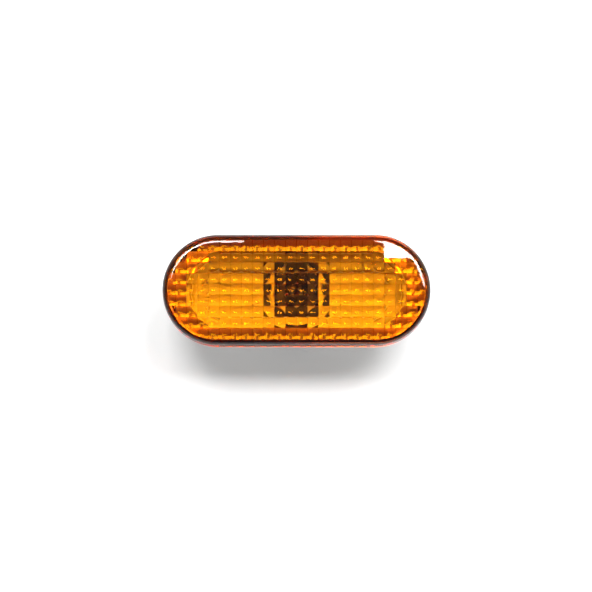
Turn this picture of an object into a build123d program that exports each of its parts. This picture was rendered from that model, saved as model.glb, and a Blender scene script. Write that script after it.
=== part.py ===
from build123d import *
from math import asin, ceil, degrees, sqrt
import os

# Fender turn signal lamp: an oval side repeater that is pushed into a cut-out in the
# fender, where a fixed hook holds one end and a spring clip the other.
# The origin is the centre of the plane where the flange gasket lies on the fender skin.
# +Z points out through the lens, +X along the lamp and +Y up the fender.
# Lengths are in millimetres, angles in degrees.

# Lens: amber, moulded with its skirt, smooth outside, square pillow optics inside
lens_length = 98.0
lens_width = 40.6
lens_height = 10.0
lens_draft = 1.5
rim_radius = 3.0
skirt_wall = 2.3
face_thickness = 2.2
pillow_pitch = 4.0
pillow_radius = 5.2
lip_wall = 1.5
ledge_height = 2.2
ledge_play = 0.3

# Flange gasket: foam ring between the lamp and the fender skin
gasket_thickness = 1.5
gasket_inset = 0.1
gasket_width = 3.4

# Housing: flange welded into the lens skirt, tub behind it, neck for the bulb holder
flange_thickness = 1.8
flange_play = 0.15
tub_end_margin = 3.9
tub_side_margin = 1.2
tub_depth = 16.5
tub_draft = 3.0
tub_wall = 1.6
tub_floor = 2.0
tub_corner = 1.2
neck_bore = 22.4
neck_wall = 2.1
neck_length = 9.0
neck_offset = 1.8
gusset_reach = 9.0
gusset_drop = 3.5
gusset_thickness = 1.8

# Fixed hook at the -X end, behind the fender skin
skin_room = 1.2
hook_reach = 3.2
hook_width = 8.0
hook_thickness = 1.4
hook_drop = 4.0

# Spring clip at the +X end: one bent leaf that slides between two rails on a pad
clip_width = 8.0
clip_thickness = 0.5
clip_play = 0.1
clip_top = -1.2
clip_bottom = -10.4
clip_bend = 2.5
clip_reach = 4.4
shoulder_height = -3.6
ramp_end_height = -1.0
ramp_end_reach = 2.3
clip_corner_radius = 1.05
pad_proud = 0.4
pad_top = -0.6
pad_bottom = -9.6
rail_wall = 1.2
rail_lip = 0.8
rail_depth = 1.1
latch_width = 3.0
latch_length = 2.2
latch_height = -5.2
latch_proud = 0.35

# Bayonet: three lugs of the bulb holder turn in slots through the neck wall
lug_count = 3
turn_angle = 45.0
lug_width = 4.5
lug_length = 2.1
lug_reach = 1.9
slot_length = 2.9
slot_web = 2.3
lug_play = 0.3

# Bulb holder: turret in the neck, grip flange behind it, connector shroud
holder_play = 0.3
holder_setback = 0.6
grip_diameter = 28.6
grip_thickness = 2.0
grip_gap = 0.3
scallop_count = 10
scallop_radius = 2.6
scallop_depth = 0.7
recess_depth = 2.5
recess_play = 0.35
pocket_depth = 9.5
pocket_width = 5.8
pocket_play = 0.4
shroud_length = 20.0
shroud_width = 13.0
shroud_depth = 9.7
shroud_wall = 1.4
shroud_corner = 2.4
latch_ramp_width = 5.0
latch_ramp_length = 3.0
latch_ramp_height = 1.1
latch_ramp_inset = 2.0
key_rib_size = 1.0
key_rib_offset = 6.2

# Holder seal: rubber ring with a chamfered rim in the turret's groove
seal_section = 1.8
seal_chamfer = 0.5
seal_play = 0.1
seal_depth = 2.7
groove_width = 2.0

# Contacts: brass, a sprung fork for the bulb's base above and a tab in the shroud below
contact_spacing = 7.6
contact_play = 0.05
leaf_width = 2.2
leaf_thickness = 0.35
leaf_spread = 2.35
leaf_rise = 1.2
pinch_rise = 4.3
leaf_height = 6.0
leaf_flare = 0.5
leaf_corner_radius = 0.3
tab_width = 2.8
tab_thickness = 0.8
tab_length = 6.7
tab_chamfer = 0.25

# Bulb: glass wedge base, two leads folded over the base, one filament
bulb_length = 26.8
bulb_diameter = 10.3
glass_wall = 0.6
wedge_width = 9.6
wedge_thickness = 2.3
wedge_height = 6.5
wedge_corner = 0.6
shoulder_rise = 2.5
bulb_floor_gap = 1.0
light_centre = 12.7
lead_diameter = 0.5
lead_top_spacing = 4.4
lead_base_spacing = 7.2
lead_top_over = 0.6
lead_kink_drop = 4.5
lead_kink_length = 4.0
lead_fold_height = 3.4
lead_play = 0.03
filament_diameter = 0.4
filament_play = 0.05

# Heights along Z that several pieces share
lens_front = gasket_thickness + lens_height
valley_height = lens_front - face_thickness
flange_front = gasket_thickness + flange_thickness
ledge_front = flange_front + ledge_height
floor_front = flange_front - tub_depth
floor_back = floor_front - tub_floor
neck_end = floor_back - neck_length
slot_low = neck_end + slot_web
slot_high = slot_low + slot_length
holder_front = floor_front - holder_setback
grip_front = neck_end - grip_gap
grip_back = grip_front - grip_thickness
shroud_end = grip_back - shroud_depth
pocket_floor = holder_front - pocket_depth
wedge_end = pocket_floor + bulb_floor_gap
wedge_top = wedge_end + wedge_height
bulb_shoulder = wedge_top + shoulder_rise
bulb_tip = wedge_end + bulb_length
filament_height = wedge_top + light_centre

# Outlines and radii that several pieces share
inner_length = lens_length - 2 * skirt_wall
inner_width = lens_width - 2 * skirt_wall
rebate_length = lens_length - 2 * lip_wall
rebate_width = lens_width - 2 * lip_wall
gasket_length = lens_length - 2 * gasket_inset
gasket_outer_width = lens_width - 2 * gasket_inset
gasket_hole_length = gasket_length - 2 * gasket_width
gasket_hole_width = gasket_outer_width - 2 * gasket_width
tub_length = gasket_hole_length - 2 * (tub_end_margin + tub_wall)
tub_width = gasket_hole_width - 2 * (tub_side_margin + tub_wall)
mouth_length = tub_length + 2 * ledge_play
mouth_width = tub_width + 2 * ledge_play
neck_radius = neck_bore / 2 + neck_wall
turret_radius = neck_bore / 2 - holder_play
tub_end = tub_length / 2 + tub_wall
pad_face = tub_end + pad_proud
contact_x = contact_spacing / 2
wire_y = wedge_thickness / 2 + contact_play + lead_diameter / 2
cut_over = 1.0


def stadium(length, width, start, end, draft=0.0):
    """Prism with round ends between two heights, narrowing from its start by the draft."""
    plane = Plane(origin=(0, 0, start), x_dir=(1, 0, 0), z_dir=(0, 0, end - start))
    return extrude(plane * SlotOverall(length, width), amount=abs(end - start), taper=draft)


def block(x_range, y_range, z_range):
    """Box between its lowest and highest values on each axis."""
    spans = (x_range, y_range, z_range)
    centre = [(low + high) / 2 for low, high in spans]
    return Pos(*centre) * Box(*[high - low for low, high in spans])


def cylinder(radius, start, end):
    """Cylinder on the Z axis between two heights."""
    return Pos(0, 0, (start + end) / 2) * Cylinder(radius, abs(end - start))


def ring_sector(inner, outer, low, high, first_angle, last_angle):
    """Part of a ring about the Z axis, between two radii, heights and angles."""
    section = Plane.XZ * Pos((inner + outer) / 2, (low + high) / 2) * Rectangle(outer - inner, high - low)
    return Rot(0, 0, first_angle) * revolve(section, Axis.Z, last_angle - first_angle)


def rounded_box(length, width, corner, start, end):
    """Upright prism with rounded corners between two heights."""
    plane = Plane.XY.offset(min(start, end))
    return extrude(plane * RectangleRounded(length, width, corner), amount=abs(end - start))


def on_neck(piece):
    """Moves a piece built about the Z axis onto the axis of the bulb neck."""
    return Pos(0, neck_offset, 0) * piece


def pillow_optics():
    """Block whose underside is the quilt of spherical pillows, flat above and at its sides."""
    columns = 2 * ceil(inner_length / pillow_pitch / 2)
    rows = ceil(inner_width / pillow_pitch)
    corner_sag = pillow_radius - sqrt(pillow_radius**2 - pillow_pitch**2 / 2)
    peak = valley_height - corner_sag
    top = lens_front - face_thickness / 2
    cell = block((-pillow_pitch / 2, pillow_pitch / 2), (-pillow_pitch / 2, pillow_pitch / 2), (peak - cut_over, top))
    dome = Pos(0, 0, peak + pillow_radius) * Rot(0, -90, 0) * Sphere(pillow_radius)
    pillow = (dome & cell).faces().filter_by(GeomType.SPHERE).sort_by(Axis.Z)[0]
    quilt = []
    for column in range(columns):
        for row in range(rows):
            x = (column - (columns - 1) / 2) * pillow_pitch
            y = (row - (rows - 1) / 2) * pillow_pitch
            quilt.append(pillow.moved(Location((x, y, 0))))
    half_length = columns * pillow_pitch / 2
    half_width = rows * pillow_pitch / 2
    corners = [(-half_length, -half_width), (half_length, -half_width)]
    corners += [(half_length, half_width), (-half_length, half_width)]
    lid = Face(Wire.make_polygon([(x, y, top) for x, y in corners], close=True))
    pillow_edges = [edge for face in quilt for edge in face.edges()]
    sides = []
    for (x1, y1), (x2, y2) in zip(corners, corners[1:] + corners[:1]):
        border = [
            Edge.make_line((x1, y1, valley_height), (x1, y1, top)),
            Edge.make_line((x1, y1, top), (x2, y2, top)),
            Edge.make_line((x2, y2, top), (x2, y2, valley_height)),
        ]
        line = Edge.make_line((x1, y1, valley_height), (x2, y2, valley_height))
        axis = Axis.X if x1 == x2 else Axis.Y
        across = line.center().X if x1 == x2 else line.center().Y
        border += ShapeList(pillow_edges).filter_by_position(axis, across - 1e-6, across + 1e-6)
        sides.append(Face(Wire.combine(border)[0]))
    return Solid(Shell(quilt + sides + [lid]))


def lens():
    """Amber lens: skirt, rolled rim, pillow optics, and a ledge welded on the housing's flange."""
    body = stadium(lens_length, lens_width, gasket_thickness, lens_front, lens_draft)
    body = fillet(body.faces().sort_by(Axis.Z)[-1].edges(), rim_radius)
    hollow_top = valley_height + face_thickness / 4
    hollow = stadium(inner_length, inner_width, ledge_front, hollow_top) - pillow_optics()
    mouth = stadium(mouth_length, mouth_width, gasket_thickness, ledge_front + face_thickness / 4)
    rebate = stadium(rebate_length, rebate_width, gasket_thickness, flange_front)
    return body - hollow - mouth - rebate


def flange_gasket():
    """Foam ring under the lens skirt and the housing flange."""
    ring = stadium(gasket_length, gasket_outer_width, 0, gasket_thickness)
    return ring - stadium(gasket_hole_length, gasket_hole_width, 0, gasket_thickness)


def hook():
    """Fixed hook with a slanted back, which goes under the fender skin."""
    tip = -tub_end - hook_reach
    root = -tub_length / 2 + tub_wall
    top = -skin_room
    profile = Plane.XZ * make_face(
        Polyline(
            (root, top),
            (tip, top),
            (tip, top - hook_thickness),
            (-tub_end, top - hook_thickness - hook_drop),
            (root, top - hook_thickness - hook_drop),
            close=True,
        )
    )
    return extrude(profile, amount=hook_width / 2, both=True)


def clip_pad():
    """Pad on the end wall with two lipped rails and a latch nose for the spring clip."""
    half = clip_width / 2 + clip_play
    lip_face = pad_face + clip_thickness + clip_play
    root = tub_length / 2 - tub_wall
    pad = block((root, pad_face), (-half - rail_wall, half + rail_wall), (pad_bottom, pad_top))
    for side in (-1, 1):
        y_rail = sorted((side * half, side * (half + rail_wall)))
        y_lip = sorted((side * (half - rail_lip), side * half))
        pad += block((root, pad_face + rail_depth), y_rail, (pad_bottom, pad_top))
        pad += block((lip_face, pad_face + rail_depth), y_lip, (pad_bottom, pad_top))
    nose_half = latch_width / 2 - clip_play
    nose_low = latch_height - latch_length / 2 + clip_play
    nose_high = latch_height + latch_length / 2 - clip_play
    nose = Plane.XZ * make_face(
        Polyline(
            (pad_face, nose_high),
            (pad_face + latch_proud, nose_high),
            (pad_face, nose_low),
            close=True,
        )
    )
    return pad + extrude(nose, amount=nose_half, both=True)


def gussets():
    """Two triangular ribs that brace the neck against the floor of the tub."""
    root = neck_radius - neck_wall / 2
    tip = neck_radius + gusset_reach
    profile = Plane.XZ * make_face(
        Polyline(
            (root, floor_back + tub_floor / 2),
            (tip, floor_back + tub_floor / 2),
            (tip, floor_back),
            (root, floor_back - gusset_drop),
            close=True,
        )
    )
    rib = extrude(profile, amount=gusset_thickness / 2, both=True)
    return rib + Rot(0, 0, 180) * rib


def bayonet_slots():
    """Slots through the neck wall, each with its way in from the neck's end."""
    mid_radius = turret_radius + lug_reach / 2
    reach = degrees(asin((lug_width / 2 + lug_play) / mid_radius))
    inner = neck_bore / 2 - cut_over
    outer = neck_radius + cut_over
    cuts = []
    for lug in range(lug_count):
        locked = 90 + lug * 360 / lug_count
        free = locked - turn_angle
        cuts.append(ring_sector(inner, outer, slot_low, slot_high, free - reach, locked + reach))
        cuts.append(ring_sector(inner, outer, neck_end - cut_over, slot_high, free - reach, free + reach))
    return cuts


def housing():
    """Flange, tub, neck, hook and clip pad, moulded in one piece."""
    flange_length = rebate_length - 2 * flange_play
    flange_width = rebate_width - 2 * flange_play
    body = stadium(flange_length, flange_width, gasket_thickness, flange_front)
    outer_length = tub_length + 2 * tub_wall
    outer_width = tub_width + 2 * tub_wall
    tub = stadium(outer_length, outer_width, flange_front, floor_back, tub_draft)
    body += fillet(tub.faces().sort_by(Axis.Z)[0].edges(), tub_corner)
    body += hook()
    body += clip_pad()
    body += on_neck(cylinder(neck_radius, floor_front, neck_end) + gussets())
    body -= stadium(tub_length, tub_width, flange_front, floor_front, tub_draft)
    body -= on_neck(cylinder(neck_bore / 2, floor_front + cut_over, neck_end - cut_over))
    for cut in bayonet_slots():
        body -= on_neck(cut)
    return body


def spring_clip():
    """Stainless leaf: flat leg on the pad, U bend, rising leg with shoulder and ramp."""
    leg_x = pad_face + clip_thickness / 2
    path = FilletPolyline(
        (leg_x, 0, clip_top),
        (leg_x, 0, clip_bottom),
        (leg_x + clip_bend, 0, clip_bottom),
        (tub_end + clip_reach, 0, shoulder_height),
        (tub_end + ramp_end_reach, 0, ramp_end_height),
        radius=clip_corner_radius,
    )
    section = Plane(path @ 0, x_dir=(0, 1, 0), z_dir=path % 0) * Rectangle(clip_width, clip_thickness)
    leaf = sweep(section, path)
    window_low = latch_height - latch_length / 2
    window_high = latch_height + latch_length / 2
    window_x = (pad_face - clip_thickness, pad_face + 2 * clip_thickness)
    return leaf - block(window_x, (-latch_width / 2, latch_width / 2), (window_low, window_high))


def scalloped_grip():
    """Grip flange with finger scallops round its edge."""
    grip = cylinder(grip_diameter / 2, grip_back, grip_front)
    scallop_centre = grip_diameter / 2 - scallop_depth + scallop_radius
    scallop = Pos(scallop_centre, 0, 0) * cylinder(scallop_radius, grip_back - cut_over, grip_front + cut_over)
    for index in range(scallop_count):
        grip -= Rot(0, 0, index * 360 / scallop_count) * scallop
    return grip


def connector_shroud():
    """Rounded socket with a latch ramp outside and a key rib inside."""
    shroud = rounded_box(shroud_length, shroud_width, shroud_corner, grip_back, shroud_end)
    inner_corner = shroud_corner - shroud_wall
    inner_half = shroud_width / 2 - shroud_wall
    shroud -= rounded_box(
        shroud_length - 2 * shroud_wall, shroud_width - 2 * shroud_wall, inner_corner, grip_back, shroud_end
    )
    key_x = (key_rib_offset - key_rib_size / 2, key_rib_offset + key_rib_size / 2)
    shroud += block(key_x, (-inner_half - shroud_wall / 2, -inner_half + key_rib_size), (shroud_end, grip_back))
    ramp_low = shroud_end + latch_ramp_inset
    face = shroud_width / 2
    ramp = Plane.YZ * make_face(
        Polyline(
            (face - shroud_wall / 2, ramp_low),
            (face, ramp_low),
            (face + latch_ramp_height, ramp_low + latch_ramp_length),
            (face - shroud_wall / 2, ramp_low + latch_ramp_length),
            close=True,
        )
    )
    return shroud + extrude(ramp, amount=latch_ramp_width / 2, both=True)


def bulb_holder():
    """Turret, lugs, grip flange and connector shroud, moulded in one piece."""
    body = cylinder(turret_radius, grip_back, holder_front)
    body += scalloped_grip()
    body += connector_shroud()
    lug_low = (slot_low + slot_high - lug_length) / 2
    reach = degrees(asin(lug_width / 2 / (turret_radius + lug_reach / 2)))
    for lug in range(lug_count):
        locked = 90 + lug * 360 / lug_count
        lug_ring = (turret_radius - cut_over, turret_radius + lug_reach)
        body += ring_sector(*lug_ring, lug_low, lug_low + lug_length, locked - reach, locked + reach)
    seal_height = holder_front - seal_depth
    groove_floor = neck_bore / 2 - seal_section - 2 * seal_play
    groove = (seal_height - groove_width / 2, seal_height + groove_width / 2)
    body -= cylinder(turret_radius + cut_over, *groove) - cylinder(groove_floor, *groove)
    recess_radius = bulb_diameter / 2 + recess_play
    body -= cylinder(recess_radius, holder_front - recess_depth, holder_front + cut_over)
    pocket_half = wedge_width / 2 + pocket_play
    body -= block(
        (-pocket_half, pocket_half), (-pocket_width / 2, pocket_width / 2), (pocket_floor, holder_front)
    )
    for side in (-1, 1):
        tab_x = side * contact_x
        half_thickness = tab_thickness / 2 + contact_play
        half_width = tab_width / 2 + contact_play
        body -= block(
            (tab_x - half_thickness, tab_x + half_thickness),
            (-half_width, half_width),
            (grip_back - cut_over, pocket_floor + cut_over),
        )
    return on_neck(body)


def holder_seal():
    """Rubber ring that closes the neck round the turret."""
    outer = neck_bore / 2 - seal_play
    inner = outer - seal_section
    low = holder_front - seal_depth - seal_section / 2
    high = low + seal_section
    rim = cylinder(outer, low, high)
    rim = chamfer(rim.edges().filter_by(GeomType.CIRCLE), seal_chamfer)
    return on_neck(rim - cylinder(inner, low, high))


def contact(side):
    """Brass contact: a sprung fork that grips the wedge base, and a tab into the shroud."""
    plate_z = pocket_floor + contact_play + leaf_thickness / 2
    wire_pinch = wire_y + lead_diameter / 2 + contact_play + leaf_thickness / 2
    glass_pinch = wedge_thickness / 2 + contact_play + leaf_thickness / 2
    path = FilletPolyline(
        (0, -side * (glass_pinch + leaf_flare), pocket_floor + leaf_height),
        (0, -side * glass_pinch, pocket_floor + pinch_rise),
        (0, -side * leaf_spread, pocket_floor + leaf_rise),
        (0, -side * leaf_spread, plate_z),
        (0, side * leaf_spread, plate_z),
        (0, side * leaf_spread, pocket_floor + leaf_rise),
        (0, side * wire_pinch, pocket_floor + pinch_rise),
        (0, side * (wire_pinch + leaf_flare), pocket_floor + leaf_height),
        radius=leaf_corner_radius,
    )
    section = Plane(path @ 0, x_dir=(1, 0, 0), z_dir=path % 0) * Rectangle(leaf_width, leaf_thickness)
    fork = sweep(section, path)
    tab_half = (tab_thickness / 2, tab_width / 2)
    tab = block((-tab_half[0], tab_half[0]), (-tab_half[1], tab_half[1]), (grip_back - tab_length, plate_z))
    tab = chamfer(tab.faces().sort_by(Axis.Z)[0].edges(), tab_chamfer)
    return on_neck(Pos(side * contact_x, 0, 0) * (fork + tab))


def bulb_envelope(radius, low, tip):
    """Round tube on the Z axis with a round dome at its tip."""
    return cylinder(radius, low, tip - radius) + Pos(0, 0, tip - radius) * Sphere(radius)


def lead_path(side):
    """Route of a lead: filament, kink, down through the base and up its face."""
    top_x = side * lead_top_spacing / 2
    base_x = side * lead_base_spacing / 2
    kink = filament_height - lead_kink_drop
    fold_z = wedge_end - contact_play - lead_diameter / 2
    return Polyline(
        (top_x, 0, filament_height + lead_top_over),
        (top_x, 0, kink),
        (base_x, 0, kink - lead_kink_length),
        (base_x, 0, fold_z),
        (base_x, side * wire_y, fold_z),
        (base_x, side * wire_y, wedge_end + lead_fold_height),
    )


def bulb_glass():
    """Hollow envelope pinched into a solid wedge base, with a channel for each lead."""
    radius = bulb_diameter / 2
    glass = bulb_envelope(radius, bulb_shoulder, bulb_tip)
    pinch = Plane.YZ * make_face(
        Polyline(
            (-radius, bulb_shoulder),
            (radius, bulb_shoulder),
            (wedge_thickness / 2, wedge_top),
            (-wedge_thickness / 2, wedge_top),
            close=True,
        )
    )
    glass += extrude(pinch, amount=wedge_width / 2, both=True) & cylinder(radius, wedge_top, bulb_shoulder)
    glass += rounded_box(wedge_width, wedge_thickness, wedge_corner, wedge_end, wedge_top)
    inner_radius = radius - glass_wall
    glass -= bulb_envelope(inner_radius, bulb_shoulder, bulb_tip - glass_wall)
    channel = cylinder(lead_diameter / 2 + lead_play, wedge_end - cut_over, bulb_shoulder + cut_over)
    for side in (-1, 1):
        glass -= Pos(side * lead_base_spacing / 2, 0, 0) * channel
    return on_neck(glass)


def bulb_lead(side):
    """Lead of the bulb, from the filament to its fold on the wedge base."""
    path = lead_path(side)
    section = Plane(path @ 0, z_dir=path % 0) * Circle(lead_diameter / 2)
    return on_neck(sweep(section, path, transition=Transition.RIGHT))


def bulb_filament():
    """Coiled filament between the leads, as a rod of the coil's diameter."""
    length = lead_top_spacing - lead_diameter - 2 * filament_play
    return on_neck(Pos(0, 0, filament_height) * Rot(0, 90, 0) * Cylinder(filament_diameter / 2, length))


os.makedirs("parts", exist_ok=True)
pieces = {
    "lens": lens(),
    "flange_gasket": flange_gasket(),
    "housing": housing(),
    "spring_clip": spring_clip(),
    "bulb_holder": bulb_holder(),
    "holder_seal": holder_seal(),
    "contact_left": contact(-1),
    "contact_right": contact(1),
    "bulb_glass": bulb_glass(),
    "bulb_filament": bulb_filament(),
    "bulb_lead_left": bulb_lead(-1),
    "bulb_lead_right": bulb_lead(1),
}
for name, piece in pieces.items():
    export_step(piece, f"parts/{name}.step")
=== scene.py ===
import math

import bmesh
import bpy
from bpy.props import FloatProperty, FloatVectorProperty, IntProperty, PointerProperty
from bpy.types import Operator, Panel, PropertyGroup
from mathutils import Matrix, Vector


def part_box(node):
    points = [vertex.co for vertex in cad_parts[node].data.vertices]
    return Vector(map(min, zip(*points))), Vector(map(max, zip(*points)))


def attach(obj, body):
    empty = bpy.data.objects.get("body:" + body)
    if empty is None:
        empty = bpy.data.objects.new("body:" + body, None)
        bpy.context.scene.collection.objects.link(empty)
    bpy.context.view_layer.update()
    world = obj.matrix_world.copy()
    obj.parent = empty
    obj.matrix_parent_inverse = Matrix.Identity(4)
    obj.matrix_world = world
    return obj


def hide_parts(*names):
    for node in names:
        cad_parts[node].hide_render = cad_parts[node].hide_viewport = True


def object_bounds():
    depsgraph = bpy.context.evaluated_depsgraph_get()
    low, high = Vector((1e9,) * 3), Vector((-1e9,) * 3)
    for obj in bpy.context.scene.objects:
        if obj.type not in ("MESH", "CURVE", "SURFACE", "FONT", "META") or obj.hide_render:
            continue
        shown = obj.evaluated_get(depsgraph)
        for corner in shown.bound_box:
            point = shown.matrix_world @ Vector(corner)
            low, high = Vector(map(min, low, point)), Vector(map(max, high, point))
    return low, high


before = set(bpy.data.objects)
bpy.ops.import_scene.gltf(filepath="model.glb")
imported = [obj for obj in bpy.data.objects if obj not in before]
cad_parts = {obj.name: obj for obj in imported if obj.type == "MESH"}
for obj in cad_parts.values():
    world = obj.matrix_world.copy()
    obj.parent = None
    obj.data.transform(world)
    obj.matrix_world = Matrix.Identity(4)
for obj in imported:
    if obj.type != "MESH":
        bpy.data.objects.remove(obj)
cad_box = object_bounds()

bl_info = {
    "name": "Fender Turn Signal Lamp",
    "version": (1, 0, 0),
    "blender": (4, 5, 0),
    "location": "3D View > Sidebar > Turn Signal",
    "description": "Dresses an oval amber side turn signal lamp and sets up its studio",
    "category": "Object",
}

# One millimetre in the scene's metres
MM = 0.001

# How far a tool reaches past what it cuts, and a joined solid into its neighbour
PAST = 1 * MM

# Corners of a full circle, and the angle over which an edge stays sharp
CORNERS = 128
SMOOTH_ANGLE = math.radians(32)
QUARTER = math.pi / 2

# Colour of paper and lights
WHITE = (1, 1, 1, 1)

# Vertices nearer than this are one
MERGE = 0.001 * MM

# Air between two pieces that lie on each other, so that light passes from one to the other
SKIN = 0.04 * MM

# Narrow ring just inside a flat face, which keeps the shading of the face flat
FLAT_EDGE = 0.05 * MM

# Boxes of the pieces at rest, which the sizes below are worked out from
LENS_LOW, LENS_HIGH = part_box("lens")
HOUSING_LOW, HOUSING_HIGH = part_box("housing")
HOLDER_LOW, HOLDER_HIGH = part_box("bulb_holder")

# Half the lens's width, and half the length of the lamp's middle line
HALF_WIDTH = (LENS_HIGH.y - LENS_LOW.y) / 2
REACH = (LENS_HIGH.x - LENS_LOW.x) / 2 - HALF_WIDTH

# Axis of the bulb unit, and where its three lugs stand when it is locked
AXIS = (0.0, (HOLDER_LOW.y + HOLDER_HIGH.y) / 2)
LUG_TURNS = [QUARTER + lug * math.tau / 3 for lug in range(3)]


def number(name, description, value, **kind):
    """Property for a plain number, or for one of another kind."""
    return FloatProperty(name=name, description=description, default=value, **kind)


def length(name, description, millimetres):
    """Property for a length."""
    return number(name, description, millimetres * MM, unit="LENGTH")


def angle(name, description, degrees):
    """Property for an angle."""
    return number(name, description, math.radians(degrees), subtype="ANGLE")


def tint(name, description, *colour, subtype="COLOR"):
    """Property for a colour, or for three levels."""
    return FloatVectorProperty(name=name, description=description, default=colour, subtype=subtype)


class LensSizes(PropertyGroup):
    """Sizes of the amber lens that its outer box does not give."""

    draft: angle("Draft", "Lean of the skirt towards the face", 1.5)
    rim_radius: length("Rim radius", "Roll between the skirt and the face", 3.0)
    skirt_wall: length("Skirt wall", "Thickness of the skirt", 2.3)
    lip_wall: length("Lip wall", "Thickness of the lip round the flange", 1.5)
    lip_height: length("Lip height", "Depth of the rebate for the flange", 1.8)
    ledge_height: length("Ledge height", "Thickness of the inner ledge on the flange", 2.2)
    mouth_length: length("Mouth length", "Opening of the ledge along the lamp", 80.6)
    mouth_width: length("Mouth width", "Opening of the ledge across the lamp", 28.6)
    face_thickness: length("Face thickness", "Thickness where four pillows meet", 2.2)
    pillow_pitch: length("Pillow pitch", "Width of one square pillow", 4.0)
    pillow_radius: length("Pillow radius", "Radius of a pillow's sphere", 5.2)
    roll_steps: IntProperty(
        name="Roll steps", description="Facets across the rim's roll", default=14, min=4
    )


class HousingSizes(PropertyGroup):
    """Sizes of the white housing, its gasket and its spring clip."""

    tub_length: length("Tub length", "Outside of the tub at the flange, along the lamp", 83.2)
    tub_width: length("Tub width", "Outside of the tub at the flange, across the lamp", 31.2)
    tub_wall: length("Tub wall", "Thickness of the tub's wall", 1.6)
    tub_depth: length("Tub depth", "From the flange's front to the tub's floor", 16.5)
    tub_floor: length("Tub floor", "Thickness of the tub's floor", 2.0)
    tub_draft: angle("Tub draft", "Lean of the tub's wall", 3.0)
    tub_corner: length("Tub corner", "Radius outside between wall and floor", 1.2)
    bowl_corner: length("Bowl corner", "Radius inside between wall and floor", 1.5)
    neck_bore: length("Neck bore", "Bore for the bulb holder", 22.4)
    neck_wall: length("Neck wall", "Thickness of the neck", 2.1)
    slot_web: length("Slot web", "Ring behind the bayonet slots", 2.3)
    slot_height: length("Slot height", "Height of a bayonet slot", 2.9)
    lug_width: length("Lug width", "Width of a bayonet lug", 4.5)
    lug_play: length("Lug play", "Room beside a lug", 0.3)
    turn: angle("Turn", "Turn of the bulb holder", 45.0)
    gusset_reach: length("Gusset reach", "Reach of a gusset past the neck", 9.0)
    gusset_drop: length("Gusset drop", "Height of a gusset at the neck", 3.5)
    gusset_wall: length("Gusset wall", "Thickness of a gusset", 1.8)
    hook_width: length("Hook width", "Width of the fixed hook", 8.0)
    skin_room: length("Skin room", "From the fender face to the hook", 1.2)
    hook_thickness: length("Hook thickness", "Thickness of the hook's tip", 1.4)
    hook_drop: length("Hook drop", "Height of the hook's slanted back", 4.0)
    clip_width: length("Clip width", "Width of the spring clip", 8.0)
    clip_gauge: length("Clip gauge", "Thickness of the spring clip", 0.5)
    clip_radius: length("Clip bend", "Radius of the clip's bends", 1.05)
    foam_width: length("Foam width", "Width of the gasket's ring", 3.4)
    foam_round: length("Foam edge", "Rounding of the gasket's edges", 0.08)


class BulbSizes(PropertyGroup):
    """Sizes of the bulb holder, its contacts and the bulb."""

    turret: length("Turret radius", "Radius of the turret in the neck", 10.9)
    groove_radius: length("Groove radius", "Radius of the floor of the seal's groove", 9.2)
    seal_depth: length("Seal depth", "From the turret's front to the seal's middle", 2.7)
    groove_width: length("Groove width", "Width of the seal's groove", 2.0)
    lug_reach: length("Lug reach", "How far a lug stands out", 1.9)
    lug_length: length("Lug length", "Height of a lug", 2.1)
    grip_thickness: length("Grip thickness", "Thickness of the grip flange", 2.0)
    scallop_radius: length("Scallop radius", "Radius of a finger scallop", 2.6)
    scallop_depth: length("Scallop depth", "Depth of a finger scallop", 0.7)
    recess_radius: length("Recess radius", "Radius of the recess round the bulb", 5.5)
    recess_depth: length("Recess depth", "Depth of the recess round the bulb", 2.5)
    pocket_length: length("Pocket length", "Pocket for the bulb's base, along", 10.4)
    pocket_width: length("Pocket width", "Pocket for the bulb's base, across", 5.8)
    pocket_depth: length("Pocket depth", "Depth of the pocket", 9.5)
    shroud_length: length("Shroud length", "Connector socket, along", 20.0)
    shroud_width: length("Shroud width", "Connector socket, across", 13.0)
    shroud_depth: length("Shroud depth", "Depth of the connector socket", 9.7)
    shroud_wall: length("Shroud wall", "Wall of the connector socket", 1.4)
    shroud_corner: length("Shroud corner", "Corner radius of the socket", 2.4)
    contact_gauge: length("Contact gauge", "Thickness of the fork's strip", 0.35)
    tab_middle: length("Tab middle", "From the bulb's axis to a plug tab", 3.8)
    tab_width: length("Tab width", "Width of a plug tab", 2.8)
    tab_thickness: length("Tab thickness", "Thickness of a plug tab", 0.8)
    tab_length: length("Tab length", "Length of a plug tab in the socket", 6.7)
    glass_wall: length("Glass wall", "Thickness of the bulb's wall", 0.6)
    wedge_width: length("Wedge width", "Width of the bulb's base", 9.6)
    wedge_thickness: length("Wedge thickness", "Thickness of the bulb's base", 2.3)
    wedge_height: length("Wedge height", "Height of the bulb's base", 6.5)
    shoulder_rise: length("Shoulder rise", "From the base to the round bulb", 2.5)
    lead_diameter: length("Lead diameter", "Diameter of a lead", 0.5)
    lead_middle: length("Lead middle", "From the bulb's axis to a lead in the base", 3.6)
    coil_wire: length("Coil wire", "Diameter of the filament's wire", 0.09)
    coil_pitch: length("Coil pitch", "Step of the filament's coil", 0.19)


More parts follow.
